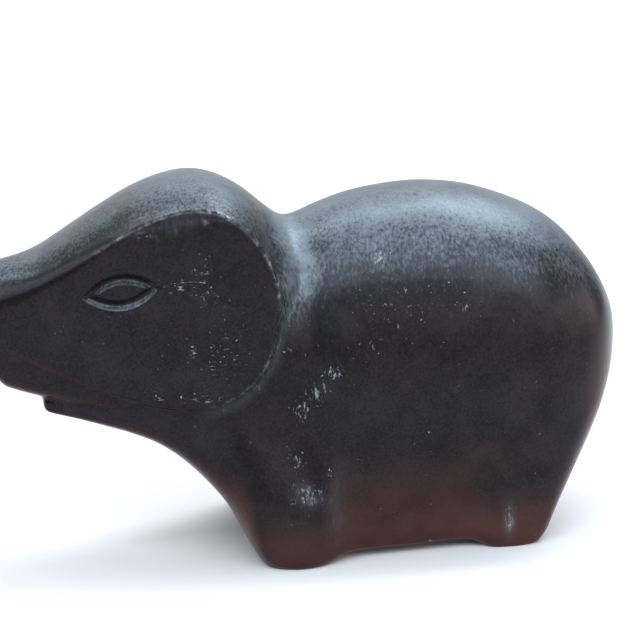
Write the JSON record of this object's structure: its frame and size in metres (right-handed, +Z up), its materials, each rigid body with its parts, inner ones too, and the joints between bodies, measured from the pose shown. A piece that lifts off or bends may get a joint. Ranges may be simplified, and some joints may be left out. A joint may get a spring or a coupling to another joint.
{
  "type": "metal elephant sculpture",
  "caption": "Small stylised elephant in dark cast metal, with planed cheeks, a raised trunk and a smooth round body on short legs.",
  "frame": {"origin": "on the ground, under the middle of the overall box from the tip of the trunk to the rump", "axes": "+X from the trunk's tip towards the rump, +Z up, -Y to the elephant's own left, which is the side the picture shows"},
  "size_m": [0.1222, 0.0396, 0.063],
  "materials": {
    "dark_metal": "dark patina, semi-gloss, with worn bright specks"
  },
  "bodies": {
    "root": {"elephant": "dark_metal"}
  },
  "joints": []
}
